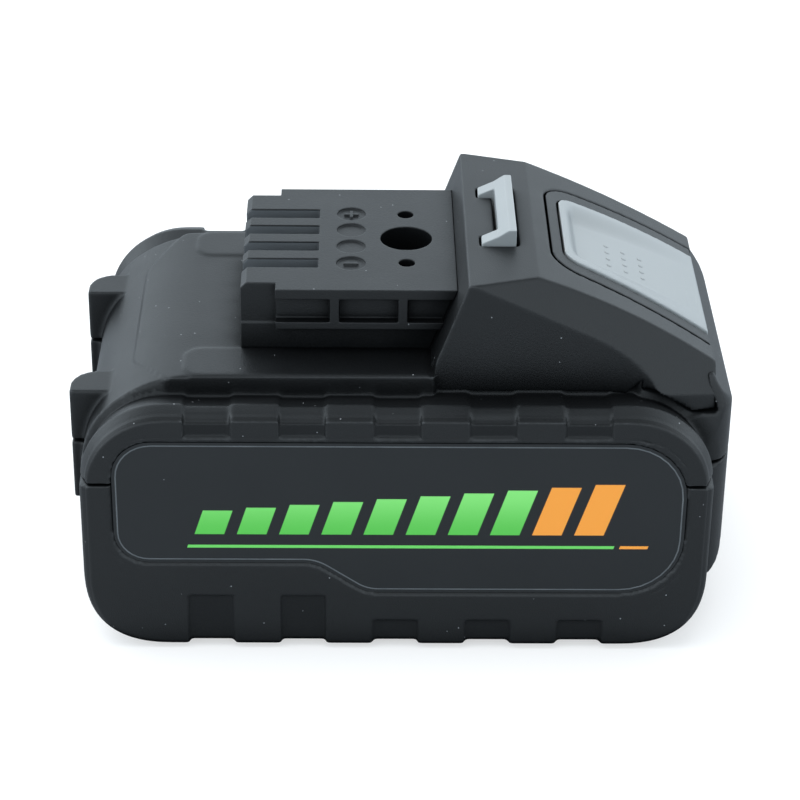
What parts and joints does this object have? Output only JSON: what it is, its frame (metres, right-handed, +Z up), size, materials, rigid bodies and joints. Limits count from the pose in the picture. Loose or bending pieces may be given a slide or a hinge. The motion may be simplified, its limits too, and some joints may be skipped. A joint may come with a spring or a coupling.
{
  "type": "power tool battery pack",
  "caption": "Slide-on battery pack for a cordless tool, with a slotted rail block, a sprung latch hook worked by a sloping release button, and round cells inside a two-part shell.",
  "frame": {"origin": "middle of the pack's box, on the flat underside that it rests on", "axes": "+X from the terminal end to the latch end, +Y to the rear side in the picture, +Z up"},
  "size_m": [0.1186, 0.075, 0.071],
  "materials": {
    "black_plastic": "fine moulded texture",
    "grey_plastic": "satin",
    "spring_steel": "drawn wire",
    "label_film": "printed film",
    "cell_sleeve": "shrink sleeve",
    "inner_plastic": "moulded",
    "fish_paper": "plain",
    "foam_pad": "closed cell",
    "nickel_strip": "rolled",
    "contact_metal": "plated",
    "board_laminate": "varnished",
    "chip_resin": "moulded",
    "bead_resin": "dipped",
    "screw_steel": "blackened"
  },
  "bodies": {
    "case": {"lower_shell": "black_plastic", "upper_shell": "black_plastic", "rail_block": "black_plastic", "latch_housing": "black_plastic", "button_bezel": "black_plastic", "latch_spring_1": "spring_steel", "latch_spring_2": "spring_steel", "front_label": "label_film", "rear_label": "label_film", "cell_1": "cell_sleeve", "cell_2": "cell_sleeve", "cell_3": "cell_sleeve", "cell_4": "cell_sleeve", "cell_5": "cell_sleeve", "cell_6": "cell_sleeve", "cell_7": "cell_sleeve", "cell_8": "cell_sleeve", "cell_9": "cell_sleeve", "cell_10": "cell_sleeve", "front_cell_holder": "inner_plastic", "rear_cell_holder": "inner_plastic", "top_frame": "inner_plastic", "front_sheet": "fish_paper", "rear_sheet": "fish_paper", "floor_pad": "foam_pad", "strap_1": "nickel_strip", "strap_2": "nickel_strip", "strap_3": "nickel_strip", "strap_4": "nickel_strip", "strap_5": "nickel_strip", "strap_6": "nickel_strip", "circuit_board": "board_laminate", "board_chips": "chip_resin", "contact_clip_1": "contact_metal", "contact_clip_2": "contact_metal", "contact_clip_3": "contact_metal", "contact_clip_4": "contact_metal", "thermistor": "bead_resin", "positive_lead": "nickel_strip", "negative_lead": "nickel_strip", "case_screws": "screw_steel", "housing_screws": "screw_steel", "block_screw": "screw_steel", "board_screws": "screw_steel"},
    "latch": {"release_button": "grey_plastic", "latch_slide": "grey_plastic"}
  },
  "joints": [
    {"name": "latch_press", "type": "slide", "parent": "case", "child": "latch", "axis": [0, 0, -1], "range_m": [0, 0.004], "stiffness_N_per_m": 1500, "springref_m": -0.004, "deforming": ["latch_spring_1", "latch_spring_2"]}
  ]
}
